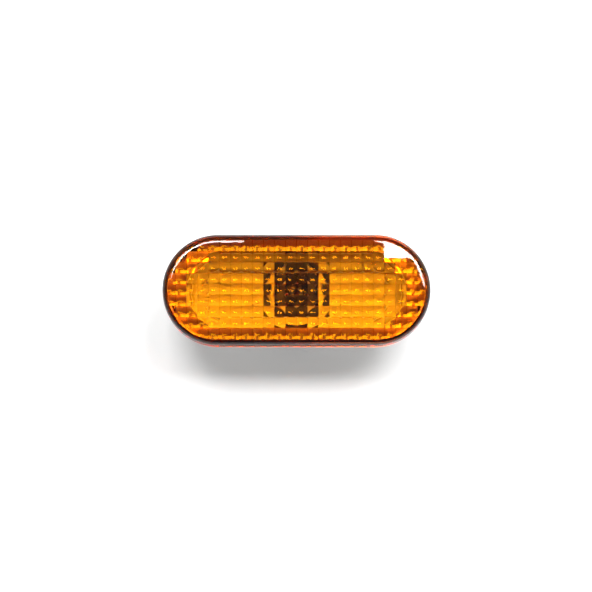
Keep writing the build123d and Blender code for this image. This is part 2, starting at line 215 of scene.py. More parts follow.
class Finish(PropertyGroup):
    """Colours and levels of the materials."""

    amber: tint(
        "Amber", "Light that a metre of the lens takes away, by colour", 8.0, 175.0, 1200.0,
        subtype="NONE"
    )
    white: tint("White plastic", "Colour of the bowl's wall and the flange", 0.95, 0.92, 0.86)
    # The outside's greyer white is painted shade: the same plastic as the bright white inside.
    painted_outer_shade: tint("Dulled plastic", "Colour of the housing's outside", 0.74, 0.71, 0.66)
    # The bowl floor's darker, warmer colour is painted shade with a painted amber cast.
    painted_floor_shade: tint("Yellowed plastic", "Colour of the bowl's floor", 0.36, 0.25, 0.18)
    black: tint("Black plastic", "Colour of the bulb holder", 0.036, 0.029, 0.03)
    # The dark film inside the skirt, and on the flange's edge under it, is painted shade that
    # darkens the lens's rim; over the gap it fades out and the rim is left clear.
    rim_shade_top: length("Sealant top", "Height of the sealant inside the lens's skirt", 7.0)
    gap_start: length("Gap start", "Where the sealant inside the skirt begins to fade", -3.0)
    gap_end: length("Gap end", "Where the sealant inside the skirt is whole again", 44.0)
    gap_fade: length("Gap fade", "Length over which the sealant fades", 14.0)
    # The darker tint along the creases between pillows is painted shade.
    crease_width: length("Crease width", "Reach of the dust from the creases between pillows", 0.25)
    crease_shade: number("Crease dust", "How much dust lies in the creases between pillows", 0.45)
    white_gloss: number("White gloss", "Roughness of the housing", 0.24)


class Studio(PropertyGroup):
    """Camera, floor and lights."""

    distance: length("Camera distance", "From the camera to the lens face", 1200.0)
    tilt: angle("Camera tilt", "Lean of the camera from straight above", 5.2)
    view_width: length("View width", "Width seen at the lens face", 214.9)
    sky: number("Sky", "Level of the light from all round", 0.15)
    softbox: number("Softboxes", "Radiance of the softboxes on matt surfaces", 21.0)
    right_sheen: number("Right sheen", "Radiance of the right softbox where gloss mirrors it", 32.0)
    left_sheen: number("Left sheen", "Radiance of the left softbox where gloss mirrors it", 30.0)
    softbox_height: length("Softbox height", "From the lens face up to the softboxes", 600.0)
    floor_gain: number("Floor white", "How far the floor is over plain white", 1.2)
    shadow_floor: number("Shadow floor", "Share of the floor's white that no shadow takes", 0.2)


def by_math(operation, swapped=False):
    """Method of a wire that adds the Math node of one operation."""
    def method(wire, other=0.0):
        values = (other, wire) if swapped else (wire, other)
        return wire.shader.add("ShaderNodeMath", dict(enumerate(values)), {"operation": operation})
    return method


class Wire:
    """A socket of a shader. An expression on it adds the Math nodes that work it out."""

    def __init__(self, shader, socket):
        self.shader = shader
        self.socket = socket

    __add__ = by_math("ADD")
    __radd__ = by_math("ADD", swapped=True)
    __sub__ = by_math("SUBTRACT")
    __rsub__ = by_math("SUBTRACT", swapped=True)
    __mul__ = by_math("MULTIPLY")
    __rmul__ = by_math("MULTIPLY", swapped=True)
    __truediv__ = by_math("DIVIDE")
    __rtruediv__ = by_math("DIVIDE", swapped=True)
    __pow__ = by_math("POWER")
    __rpow__ = by_math("POWER", swapped=True)
    __abs__ = by_math("ABSOLUTE")
    fraction = by_math("FRACT")
    at_most = by_math("MINIMUM")
    at_least = by_math("MAXIMUM")
    over = by_math("GREATER_THAN")
    under = by_math("LESS_THAN")


class Shader:
    """The node tree of a material, a light or the world."""

    def __init__(self, owner):
        self.owner = owner
        owner.use_nodes = True
        self.tree = owner.node_tree
        self.tree.nodes.clear()

    def add(self, kind, inputs=None, settings=None, output=0):
        """Adds a node of this type: its settings first, then the values or links of its sockets."""
        node = self.tree.nodes.new(kind)
        for name, value in (settings or {}).items():
            setattr(node, name, value)
        for name, value in (inputs or {}).items():
            if isinstance(value, Wire):
                self.tree.links.new(value.socket, node.inputs[name])
            else:
                node.inputs[name].default_value = value
        return Wire(self, node.outputs[output]) if node.outputs else node

    def mix(self, factor, first, second):
        """Colour between two colours, each a wire or three values."""
        first, second = (side if isinstance(side, Wire) else (*side, 1) for side in (first, second))
        return self.add("ShaderNodeMix", {0: factor, 6: first, 7: second}, {"data_type": "RGBA"}, 2)

    def place(self, stretch=None):
        """Object coordinates, which may be stretched along each axis."""
        spot = self.add("ShaderNodeTexCoord", output="Object")
        if not stretch:
            return spot
        return self.add("ShaderNodeMapping", {"Vector": spot, "Scale": stretch})

    def noise(self, scale, detail=4, roughness=0.5, place=None):
        """Noise in the object's own metres, at a scale in cycles a metre."""
        inputs = {"Scale": scale, "Detail": detail, "Roughness": roughness}
        return self.add("ShaderNodeTexNoise", {**inputs, "Vector": place or self.place()})

    def bump(self, height, depth):
        """Normal of a relief whose height runs from 0 to 1 over this depth."""
        return self.add("ShaderNodeBump", {"Height": height, "Distance": depth, "Strength": 1.0})

    def grain(self, scale, depth):
        """Normal of a noise relief."""
        return self.bump(self.noise(scale, 2), depth)

    def spot(self):
        """The three object coordinates, each a value of its own."""
        parts = self.add("ShaderNodeSeparateXYZ", {0: self.place()}).socket.node.outputs
        return [Wire(self, part) for part in parts]

    def off_line(self, x, y, reach):
        """Distance from the lamp's middle line, whose half length is the reach."""
        past = (abs(x) - reach).at_least(0)
        return (past * past + y * y) ** 0.5

    def off_grid(self, value, pitch):
        """Distance from the nearest multiple of the pitch."""
        return abs((value / pitch + 0.5).fraction() - 0.5) * pitch

    def painted_rim_shade(self, x):
        """Share of the painted rim shade, a dark film, that is there at this place along the lamp.
        """
        finish = bpy.context.scene.lamp_finish
        starts = ((x - finish.gap_start) / finish.gap_fade).at_least(0).at_most(1)
        ends = ((finish.gap_end - x) / finish.gap_fade).at_least(0).at_most(1)
        return 1 - starts * ends

    def surface(self, inputs, volume=None, cover=None, cover_inputs=None):
        """Ends the material in a Principled surface, or in two where a second covers part of it."""
        body = self.add("ShaderNodeBsdfPrincipled", inputs)
        if cover:
            film = self.add("ShaderNodeBsdfPrincipled", cover_inputs)
            body = self.add("ShaderNodeMixShader", {0: cover, 1: body, 2: film})
        ends = {"Surface": body, "Volume": volume} if volume else {"Surface": body}
        self.add("ShaderNodeOutputMaterial", ends)
        return self.owner


def new_shader(name):
    """Shader of a new material."""
    return Shader(bpy.data.materials.new(name))


def amber_plastic():
    """Clear amber moulding that takes blue and green from light, with painted shade inside its
    skirt and along its pillows' creases.
    """
    finish = bpy.context.scene.lamp_finish
    sizes = bpy.context.scene.lens_sizes
    shader = new_shader("amber_plastic")
    x, y, height = shader.spot()
    off_skirt = abs(shader.off_line(x, y, REACH) - (HALF_WIDTH - sizes.skirt_wall))
    # Painted shade: a dark film on the skirt's inner wall, which darkens the rim.
    painted_rim_shade = off_skirt.under(0.1 * MM) * height.under(finish.rim_shade_top) * shader.painted_rim_shade(x)
    pitch = sizes.pillow_pitch
    # Painted shade: a darker tint along the creases between the pillows.
    crease = shader.off_grid(x, pitch).at_most(shader.off_grid(y + pitch / 2, pitch))
    quilt = LENS_HIGH.z - sizes.face_thickness
    tint_mask = (1 - crease / finish.crease_width).at_least(0) * finish.crease_shade
    tint_mask = tint_mask * height.under(quilt + 0.2 * MM) * height.over(quilt - 1 * MM)
    # Colours: untinted, the painted crease shade, and the painted rim shade.
    clean, tinted, rim_shade_colour = (1, 1, 1), (0.3, 0.2, 0.15), (0.03, 0.014, 0.012, 1)
    density = max(finish.amber) * 1.02
    kept = (*[1 - part / density for part in finish.amber], 1)
    return shader.surface(
        {
            "Base Color": shader.mix(tint_mask, clean, tinted),
            "Roughness": shader.noise(900, 3) * 0.012 + 0.002,
            "IOR": 1.49,
            "Transmission Weight": 1.0,
        },
        shader.add("ShaderNodeVolumeAbsorption", {"Color": kept, "Density": density}),
        painted_rim_shade,
        {"Base Color": rim_shade_colour, "Roughness": 0.5, "Specular IOR Level": 0.2},
    )


def white_plastic():
    """Glossy white moulding with painted shade: darker and warmer on the bowl's floor, greyer
    outside, dark on its edge.
    """
    finish = bpy.context.scene.lamp_finish
    tub = bpy.context.scene.housing_sizes
    shader = new_shader("white_plastic")
    cloud = shader.noise(60, 3)
    patches = cloud * 0.2 + 0.9
    x, y, height = shader.spot()
    edge = HALF_WIDTH - bpy.context.scene.lens_sizes.skirt_wall - 0.2 * MM
    # Painted shade: the flange's edge under the lens's rim is dark.
    painted_rim_shade = shader.off_line(x, y, REACH).over(edge) * shader.painted_rim_shade(x)
    radius = shader.off_line(x, y, (tub.tub_length - tub.tub_width) / 2)
    outer = tub.tub_width / 2
    floor = HOUSING_HIGH.z - tub.tub_depth - tub.tub_floor / 2
    # Painted shade: the outside is a greyer white than the same plastic inside.
    outside = radius.over(outer - 0.7 * tub.tub_wall) * height.under(HOUSING_HIGH.z - 0.3 * MM)
    outside = outside.at_least(height.under(floor))
    colour = shader.mix(outside * patches, finish.white, finish.painted_outer_shade)
    # Painted shade and painted amber cast: the bowl's floor is darker and warmer than its walls.
    floor_shade_mask = radius.under(outer - tub.tub_wall - 1.2 * MM) * height.over(floor) * patches
    colour = shader.mix(floor_shade_mask.at_most(1), colour, finish.painted_floor_shade)
    return shader.surface({
        "Base Color": shader.mix(painted_rim_shade, colour, (0.02, 0.018, 0.018)),
        "Roughness": cloud * 0.06 + finish.white_gloss + painted_rim_shade * 0.3,
        "IOR": 1.5,
        "Coat Weight": 1.0,
        "Coat Roughness": finish.white_gloss,
        "Normal": shader.grain(5200, 0.005 * MM),
    })


def black_plastic():
    """Satin black moulding with a fine grain and paler rubbed patches."""
    black = bpy.context.scene.lamp_finish.black
    shader = new_shader("black_plastic")
    cloud = shader.noise(140)
    return shader.surface({
        "Base Color": shader.mix(cloud, black, [1.5 * part for part in black]),
        "Roughness": cloud * 0.16 + 0.5,
        "IOR": 1.5,
        "Specular IOR Level": 0.1,
        "Normal": shader.grain(6500, 0.02 * MM),
    })


def foam():
    """Matt closed-cell foam: small open pits where cells were cut, and dusty patches."""
    shader = new_shader("foam")
    cells = shader.add("ShaderNodeTexVoronoi", {"Vector": shader.place(), "Scale": 1900.0})
    tint_mask = shader.noise(260, 5, 0.6)
    return shader.surface({
        "Base Color": shader.mix(tint_mask, (0.022, 0.022, 0.023), (0.05, 0.048, 0.046)),
        "Roughness": tint_mask * 0.2 + 0.72,
        "IOR": 1.45,
        "Normal": shader.bump((cells * 1.6).at_most(1), 0.12 * MM),
    })


def seal_rubber():
    """Moulded rust-red silicone with a dull bloom and fine grain."""
    shader = new_shader("seal_rubber")
    bloom = shader.noise(500, 4, 0.6)
    return shader.surface({
        "Base Color": shader.mix(bloom, (0.33, 0.1, 0.055), (0.42, 0.17, 0.11)),
        "Roughness": bloom * 0.22 + 0.4,
        "IOR": 1.42,
        "Normal": shader.grain(7000, 0.012 * MM),
    })


def clear_glass():
    """Clear blown glass, faintly wavy, with a grey tint."""
    shader = new_shader("clear_glass")
    haze = shader.noise(700, 4, 0.6)
    return shader.surface({
        "Base Color": shader.mix(haze, (0.52, 0.48, 0.45), (0.66, 0.62, 0.58)),
        "Roughness": haze * 0.03,
        "IOR": 1.3,
        "Transmission Weight": 1.0,
        "Normal": shader.grain(180, 0.03 * MM),
    })


# Bright colour, dull colour, roughness, and stretch of the drawing lines of each metal
METALS = {
    "spring_steel": ((0.6, 0.59, 0.57), (0.42, 0.4, 0.37), 0.2, (1, 1, 0.06)),
    "contact_brass": ((0.78, 0.58, 0.27), (0.47, 0.31, 0.14), 0.22, (1, 1, 0.08)),
    "lead_wire": ((0.58, 0.55, 0.5), (0.3, 0.28, 0.27), 0.26, (1, 1, 0.05)),
    "filament_wire": ((0.26, 0.26, 0.28), (0.14, 0.14, 0.15), 0.35, (0.2, 1, 1)),
}


def rolled_metal(name):
    """Metal strip or wire with drawing lines along it, dull spots and small scratches."""
    bright, dull, roughness, stretch = METALS[name]
    shader = new_shader(name)
    lines = shader.noise(2600, 3, 0.6, shader.place(stretch))
    spots = shader.noise(420, 5, 0.62)
    stain = (spots * 3 - 1.2).at_least(0).at_most(1)
    return shader.surface({
        "Base Color": shader.mix(stain, bright, dull),
        "Metallic": 1.0,
        "Roughness": lines * 0.14 + stain * 0.12 + roughness,
        "Normal": shader.bump(lines, 0.006 * MM),
    })


def deselect():
    """Leaves edit mode and selects nothing."""
    if bpy.context.object and bpy.context.object.mode != "OBJECT":
        bpy.ops.object.mode_set(mode="OBJECT")
    bpy.ops.object.select_all(action="DESELECT")


def activate(piece):
    """Selects this piece alone."""
    deselect()
    piece.select_set(True)
    bpy.context.view_layer.objects.active = piece


def edit():
    """Opens the active piece in edit mode with all of it selected."""
    bpy.ops.object.mode_set(mode="EDIT")
    bpy.ops.mesh.select_all(action="SELECT")


def name_new(name):
    """Names the mesh that was just added, and applies its place, turn and scale."""
    piece = bpy.context.object
    piece.name = piece.data.name = name
    bpy.ops.object.transform_apply(location=True, rotation=True, scale=True)
    return piece


def pick(test, edges=False):
    """In edit mode, selects the vertices, or the edges, whose places pass the test."""
    bpy.ops.mesh.select_mode(type="EDGE" if edges else "VERT")
    bpy.ops.mesh.select_all(action="DESELECT")
    mesh = bmesh.from_edit_mesh(bpy.context.object.data)
    for part in mesh.edges if edges else mesh.verts:
        ends = part.verts if edges else [part]
        part.select_set(test(*(vertex.co for vertex in ends)))
    mesh.select_flush_mode()
    bmesh.update_edit_mesh(bpy.context.object.data)


def pick_border():
    """In edit mode, selects the open edges."""
    bpy.ops.mesh.select_mode(type="EDGE")
    bpy.ops.mesh.select_non_manifold(
        extend=False, use_wire=False, use_boundary=True, use_multi_face=False,
        use_non_contiguous=False, use_verts=False
    )


def cap_ends():
    """In edit mode, fills the end that is selected, and then the other one."""
    bpy.ops.mesh.edge_face_add()
    pick_border()
    bpy.ops.mesh.edge_face_add()


def face_outwards(merge=False):
    """In edit mode, selects all, may merge vertices that meet, and turns every face outwards."""
    bpy.ops.mesh.select_all(action="SELECT")
    if merge:
        bpy.ops.mesh.remove_doubles(threshold=MERGE)
    bpy.ops.mesh.normals_make_consistent(inside=False)


def extrude(step):
    """In edit mode, extrudes the selected edges by this step."""
    bpy.ops.mesh.extrude_edges_move(TRANSFORM_OT_translate={"value": step})


def cut_off(place, direction, fill=False):
    """In edit mode, cuts the piece by a plane and drops what lies on the side that it faces."""
    bpy.ops.mesh.select_all(action="SELECT")
    bpy.ops.mesh.bisect(
        plane_co=place, plane_no=direction, use_fill=fill, clear_outer=True, threshold=MERGE
    )


def slice_off(piece, place, direction):
    """Cuts the piece by a plane, drops what lies on the side it faces, and fills the cut."""
    activate(piece)
    edit()
    cut_off(place, direction, fill=True)
    deselect()


def turn_profile(name, rings, corners=CORNERS, closed=False):
    """Turns a profile about Z: a circle is extruded and resized from ring to ring.

    Rings are pairs of a radius and a height, or a half length, a half width and a height. A closed
    profile joins its last ring to its first, and any other is capped. Stays in edit mode.
    """
    deselect()
    rings = [ring if len(ring) == 3 else (ring[0], *ring) for ring in rings]
    wide, deep, height = rings[0]
    half_step = math.pi / corners
    bpy.ops.mesh.primitive_circle_add(
        vertices=corners, radius=wide / math.cos(half_step), location=(0, 0, height),
        rotation=(0, 0, half_step)
    )
    piece = name_new(name)
    edit()
    for new_wide, new_deep, new_height in rings[1:] + (rings[:1] if closed else []):
        extrude((0, 0, new_height - height))
        share = (new_wide / wide, new_deep / deep, 1)
        bpy.ops.transform.resize(value=share, center_override=(0, 0, new_height))
        wide, deep, height = new_wide, new_deep, new_height
    if not closed:
        cap_ends()
    face_outwards(merge=closed)
    return piece


def oval(name, rings, reach, closed=False):
    """Turned piece whose two halves are pulled apart."""
    piece = turn_profile(name, rings, closed=closed)
    for side in (-1, 1):
        pick(lambda place: place.x * side > 0)
        bpy.ops.transform.translate(value=(side * reach, 0, 0))
    deselect()
    return piece


def turned(name, rings, spot=AXIS, corners=CORNERS, closed=False):
    """Turned piece on an upright axis through this spot."""
    piece = turn_profile(name, rings, corners, closed)
    bpy.ops.transform.translate(value=(*spot, 0))
    deselect()
    return piece


def arc(centre, radius, start, end, steps):
    """Points (radius, height) of an arc in a profile, its angles measured up from outwards."""
    x, z = centre
    turns = [start + (end - start) * step / steps for step in range(steps + 1)]
    return [(x + radius * math.cos(turn), z + radius * math.sin(turn)) for turn in turns]


def apply_modifier(piece, kind, **settings):
    """Adds a modifier to the piece, and applies it."""
    activate(piece)
    modifier = piece.modifiers.new(kind.title(), kind)
    for name, value in settings.items():
        setattr(modifier, name, value)
    bpy.ops.object.modifier_apply(modifier=modifier.name)


def boolean(piece, operation, tools):
    """Joins a piece with tools, cuts it by them or keeps what they share, and removes them."""
    for tool in tools:
        apply_modifier(piece, "BOOLEAN", operation=operation, object=tool, solver="MANIFOLD")
        bpy.data.objects.remove(tool)
    return piece


def join(piece, *others):
    """Melts other solids into a piece."""
    return boolean(piece, "UNION", others)


def cut(piece, *tools):
    """Cuts tools out of a piece."""
    return boolean(piece, "DIFFERENCE", tools)


def sector(name, inner, outer, low, high, first, last):
    """Part of a ring about the bulb's axis, between two radii, heights and angles."""
    piece = turned(name, [(inner, low), (outer, low), (outer, high), (inner, high)], closed=True)
    slice_off(piece, (*AXIS, 0), (-math.sin(last), math.cos(last), 0))
    slice_off(piece, (*AXIS, 0), (math.sin(first), -math.cos(first), 0))
    return piece


def around(middle, half):
    """Span that reaches this far to both sides of its middle."""
    return (middle - half, middle + half)


def block(name, *spans, corner=0.0, edge=0.0):
    """Box over three spans, its upright edges rounded by corner and all others by edge."""
    deselect()
    low, high = Vector([min(span) for span in spans]), Vector([max(span) for span in spans])
    bpy.ops.mesh.primitive_cube_add(size=1, location=(low + high) / 2)
    bpy.context.object.scale = high - low
    piece = name_new(name)
    edit()
    if corner:
        pick(lambda a, b: abs(a.z - b.z) > MERGE, edges=True)
        bpy.ops.mesh.bevel(offset=corner, segments=8)
    if edge:
        pick(lambda a, b: abs(a.z - b.z) < MERGE or not corner, edges=True)
        bpy.ops.mesh.bevel(offset=edge, segments=3)
    deselect()
    return piece


def outline(name, start, ahead, across, width, thickness):
    """Outline of a strip with rounded edges, or of a wire, square to its way. Left in edit mode."""
    deselect()
    ahead, across = Vector(ahead).normalized(), Vector(across)
    turn = Matrix((across, ahead.cross(across), ahead)).transposed().to_euler()
    is_wire = thickness == width
    if is_wire:
        bpy.ops.mesh.primitive_circle_add(
            vertices=20, radius=width / 2, location=start, rotation=turn
        )
    else:
        bpy.ops.mesh.primitive_plane_add(size=1, location=start, rotation=turn)
        bpy.context.object.scale = (width, thickness, 1)
    piece = name_new(name)
    edit()
    if not is_wire:
        bpy.ops.mesh.bevel(offset=thickness * 0.3, segments=3, affect="VERTICES")
        bpy.ops.mesh.delete(type="ONLY_FACE")
        bpy.ops.mesh.select_all(action="SELECT")
    return piece


def sweep(points, radius, steps):
    """In edit mode, drives the outline along a route with rounded corners, and closes it."""
    points = [Vector(point) for point in points]
    spot = points[0]
    for last, corner, beyond in zip(points, points[1:], points[2:]):
        ahead, onward = (corner - last).normalized(), (beyond - corner).normalized()
        turn = ahead.angle(onward)
        trim = radius * math.tan(turn / 2)
        entry = corner - ahead * trim
        extrude(entry - spot)
        axis = ahead.cross(onward).normalized()
        centre = entry + axis.cross(ahead) * radius
        bpy.ops.mesh.spin(steps=steps, angle=-turn, center=centre, axis=axis)
        spot = corner + onward * trim
    extrude(points[-1] - spot)
    cap_ends()
    face_outwards(merge=True)
    deselect()


def half_turn_copy(piece, name):
    """Copy of a piece, turned half round the bulb's axis."""
    activate(piece)
    bpy.ops.object.duplicate()
    copy = bpy.context.object
    copy.name = copy.data.name = name
    edit()
    bpy.ops.transform.rotate(value=math.pi, orient_axis="Z", center_override=(*AXIS, 0))
    deselect()
    return copy


def finish_piece(piece, material, body, node):
    """Shades the piece, gives it its material, and puts it on its body in place of its node."""
    activate(piece)
    bpy.ops.object.shade_smooth_by_angle(angle=SMOOTH_ANGLE)
    piece.data.materials.clear()
    piece.data.materials.append(material)
    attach(piece, body)
    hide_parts(node)


def lens_body(sizes):
    """Solid lens: face, rolled rim, drafted skirt and the rebate for the flange."""
    bottom, top, roll = LENS_LOW.z, LENS_HIGH.z, sizes.rim_radius
    lip = HALF_WIDTH - sizes.lip_wall
    roll_height = top - roll
    drop = roll_height + roll * math.sin(sizes.draft) - bottom
    roll_centre = HALF_WIDTH - drop * math.tan(sizes.draft) - roll * math.cos(sizes.draft)
    rings = [(lip, bottom + sizes.lip_height + SKIN), (lip, bottom), (HALF_WIDTH, bottom)]
    rings += arc((roll_centre, roll_height), roll, sizes.draft, QUARTER, sizes.roll_steps)
    rings.append((roll_centre - FLAT_EDGE, top))
    return oval("amber_lens", rings, REACH)


def pillow_quilt(sizes, half_length, half_width):
    """Block whose top is the quilt of square pillows, each a cap of a sphere that hangs down."""
    pitch, radius = sizes.pillow_pitch, sizes.pillow_radius
    columns = 2 * math.ceil(half_length / pitch)
    rows = 2 * math.ceil(half_width / pitch) + 1
    valley, bottom = LENS_HIGH.z - sizes.face_thickness, LENS_LOW.z
    centre_height = valley + math.sqrt(radius**2 - pitch**2 / 2)
    first = Vector(((1 - columns) / 2 * pitch, (1 - rows) / 2 * pitch, centre_height))
    deselect()
    bpy.ops.mesh.primitive_uv_sphere_add(segments=32, ring_count=36, radius=radius, location=first)
    quilt = name_new("quilt")
    edit()
    for side in (Vector((-1, 0, 0)), Vector((1, 0, 0)), Vector((0, -1, 0)), Vector((0, 1, 0))):
        cut_off(first + side * pitch / 2, side)
    cut_off(first, (0, 0, 1))
    deselect()
    for count, step in ((columns, (pitch, 0, 0)), (rows, (0, pitch, 0))):
        apply_modifier(
            quilt, "ARRAY", count=count, use_relative_offset=False, use_constant_offset=True,
            constant_offset_displace=step, use_merge_vertices=True, merge_threshold=MERGE
        )
    edit()
    pick_border()
    extrude((0, 0, bottom - valley))
    bpy.ops.transform.resize(value=(1, 1, 0), center_override=(0, 0, bottom))
    bpy.ops.mesh.edge_face_add()
    face_outwards()
    deselect()
    return quilt


class LAMP_OT_lens(Operator):
    """Models the amber lens with its pillow optics"""

    bl_idname = "lamp.lens"
    bl_label = "Lens"

    def execute(self, context):
        sizes = context.scene.lens_sizes
        body = lens_body(sizes)
        inner = HALF_WIDTH - sizes.skirt_wall
        flange_front = LENS_LOW.z + sizes.lip_height
        ledge_front = flange_front + sizes.ledge_height
        hollow = oval("hollow", [(inner, ledge_front), (inner, LENS_HIGH.z)], REACH)
        boolean(hollow, "INTERSECT", [pillow_quilt(sizes, REACH + inner, inner)])
        mouth = sizes.mouth_width / 2
        rings = [(mouth, flange_front - PAST), (mouth, ledge_front + PAST / 2)]
        cut(body, hollow, oval("mouth", rings, sizes.mouth_length / 2 - mouth))
        finish_piece(body, amber_plastic(), "lamp_body", "lens")
        return {"FINISHED"}


def tub_form(name, sizes, wall, rise, floor, corner):
    """Oval tub, whose leaning wall starts a rise over the flange's front and ends in a floor."""
    lean, draft = math.tan(sizes.tub_draft), sizes.tub_draft
    radius, top = sizes.tub_width / 2 - wall + rise * lean, HOUSING_HIGH.z + rise
    foot = radius - (top - floor - corner + corner * math.sin(draft)) * lean
    centre = (foot - corner * math.cos(draft), floor + corner)
    rings = [(radius, top)] + arc(centre, corner, -draft, -QUARTER, 8)
    rings.append((centre[0] - FLAT_EDGE, floor))
    return oval(name, rings, (sizes.tub_length - sizes.tub_width) / 2)


def flange_tub_neck(sizes, neck, floor, back):
    """Flange, tub and neck of the housing, still solid."""
    top, low, end = HOUSING_HIGH.z, LENS_LOW.z, HOUSING_LOW.z
    flange, edge = HOUSING_HIGH.y, 0.2 * MM
    rings = [(flange - edge, low), (flange, low + edge), (flange, top - edge), (flange - edge, top)]
    body = oval("white_housing", rings, REACH)
    tub = tub_form("tub", sizes, 0, -0.5 * MM, back, sizes.tub_corner)
    rim, bevel = 0.4 * MM, 0.12 * MM
    rings = [(neck, floor), (neck, end + rim), (neck - bevel, end + bevel), (neck - rim, end)]
    return join(body, tub, turned("neck", rings))


def hollow_out(body, sizes, floor):
    """Bowl and bore of the housing, cut out once all that stands on its outside is joined on."""
    mouth, bore, end = 0.4 * MM, sizes.neck_bore / 2, HOUSING_LOW.z
    rings = [(bore, floor + sizes.bowl_corner), (bore, end + mouth)]
    rings.append((bore + 2 * mouth, end - mouth))
    bowl = tub_form("bowl", sizes, sizes.tub_wall, mouth, floor, sizes.bowl_corner)
    cut(body, bowl, turned("hole", rings))


def cut_slots(body, sizes, neck):
    """Three bayonet slots through the neck, each with its way in from the neck's end."""
    bulb = bpy.context.scene.bulb_sizes
    low = HOUSING_LOW.z + sizes.slot_web
    high = low + sizes.slot_height
    share = math.asin((sizes.lug_width / 2 + sizes.lug_play) / (bulb.turret + bulb.lug_reach / 2))
    walls = (sizes.neck_bore / 2 - PAST, neck + PAST)
    for locked in LUG_TURNS:
        free = locked - sizes.turn
        cut(body, sector("slot", *walls, low, high, free - share, locked + share))
        ends = (HOUSING_LOW.z - PAST, high - 0.01 * MM)
        cut(body, sector("way_in", *walls, *ends, free - share, free + share))


def hook_and_gussets(body, sizes, neck, back):
    """Fixed hook at one end, and the two ribs that brace the neck."""
    end, tip, top = -sizes.tub_length / 2, HOUSING_LOW.x, -sizes.skin_room
    under = top - sizes.hook_thickness
    root, foot = end + 2 * sizes.tub_wall, under - sizes.hook_drop
    hook = block("hook", (tip, root), around(0, sizes.hook_width / 2), (foot, top), edge=0.25 * MM)
    slice_off(hook, (tip, 0, under), (-sizes.hook_drop, 0, tip - end))
    join(body, hook)
    drop = sizes.gusset_drop
    for side in (-1, 1):
        root, far = side * (neck - sizes.neck_wall / 2), side * (neck + sizes.gusset_reach)
        spans = (root, far), around(AXIS[1], sizes.gusset_wall / 2), (back - drop, back + PAST)
        rib = block("rib", *spans)
        slice_off(rib, (far, 0, back), (side * drop, 0, -abs(far - root)))
        join(body, rib)


def clip_pad(body, sizes):
    """Pad with two lipped rails and a latch nose, which hold the spring clip."""
    end, play = sizes.tub_length / 2, 0.1 * MM
    root, face = end - 2 * sizes.tub_wall, end + 0.4 * MM
    half, rail, lip_width = sizes.clip_width / 2 + play, 1.2 * MM, 0.8 * MM
    front, lip = face + 1.1 * MM, face + sizes.clip_gauge + play
    height = (-9.6 * MM, -0.6 * MM)
    pad = block("pad", (root, face), around(0, half + rail), height)
    for side in (-1, 1):
        wall = (side * half, side * (half + rail))
        over = (side * (half - lip_width), side * (half + 0.01 * MM))
        join(
            pad, block("rail", (root, front), wall, height, edge=0.15 * MM),
            block("lip", (lip, front), over, height, edge=0.15 * MM)
        )
    middle, half_width, half_height, proud = -5.2 * MM, 1.4 * MM, 1.0 * MM, 0.35 * MM
    nose = block("nose", (root, face + proud), around(0, half_width), around(middle, half_height))
    slice_off(nose, (face + proud, 0, middle + half_height), (2 * half_height, 0, -proud))
    join(body, pad, nose)


class LAMP_OT_housing(Operator):
    """Models the white housing: flange, tub, neck with its slots, hook, ribs and clip pad"""

    bl_idname = "lamp.housing"
    bl_label = "Housing"

    def execute(self, context):
        sizes = context.scene.housing_sizes
        neck = sizes.neck_bore / 2 + sizes.neck_wall
        floor = HOUSING_HIGH.z - sizes.tub_depth
        back = floor - sizes.tub_floor
        body = flange_tub_neck(sizes, neck, floor, back)
        hook_and_gussets(body, sizes, neck, back)
        clip_pad(body, sizes)
        hollow_out(body, sizes, floor)
        cut_slots(body, sizes, neck)
        finish_piece(body, white_plastic(), "lamp_body", "housing")
        return {"FINISHED"}


class LAMP_OT_gasket(Operator):
    """Models the foam gasket"""

    bl_idname = "lamp.gasket"
    bl_label = "Foam gasket"

    def execute(self, context):
        sizes = context.scene.housing_sizes
        low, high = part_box("flange_gasket")
        corner = sizes.foam_round
        right, left = high.y - corner, high.y - sizes.foam_width + corner
        top, bottom = high.z - corner, low.z + corner
        rings = []
        for turn, centre in enumerate(((right, top), (left, top), (left, bottom), (right, bottom))):
            rings += arc(centre, corner, turn * QUARTER, (turn + 1) * QUARTER, 5)
        piece = oval("foam_gasket", rings, high.x - high.y, closed=True)
        finish_piece(piece, foam(), "lamp_body", "flange_gasket")
        return {"FINISHED"}


class LAMP_OT_clip(Operator):
    """Models the stainless spring clip"""

    bl_idname = "lamp.clip"
    bl_label = "Spring clip"

    def execute(self, context):
        sizes = context.scene.housing_sizes
        gauge, end = sizes.clip_gauge, sizes.tub_length / 2
        leg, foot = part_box("spring_clip")[0].x + gauge / 2, -10.4 * MM
        shoulder, tip = (end + 4.4 * MM, 0, -3.6 * MM), (end + 2.3 * MM, 0, -1.0 * MM)
        route = [(leg, 0, -1.2 * MM), (leg, 0, foot), (leg + 2.5 * MM, 0, foot), shoulder, tip]
        piece = outline("spring_leaf", route[0], (0, 0, -1), (0, 1, 0), sizes.clip_width, gauge)
        sweep(route, sizes.clip_radius, 8)
        cut(piece, block("window", around(leg, gauge), around(0, 1.5 * MM), (-6.3 * MM, -4.1 * MM)))
        steel = rolled_metal("spring_steel")
        finish_piece(piece, steel, "lamp_body", "spring_clip")
        return {"FINISHED"}


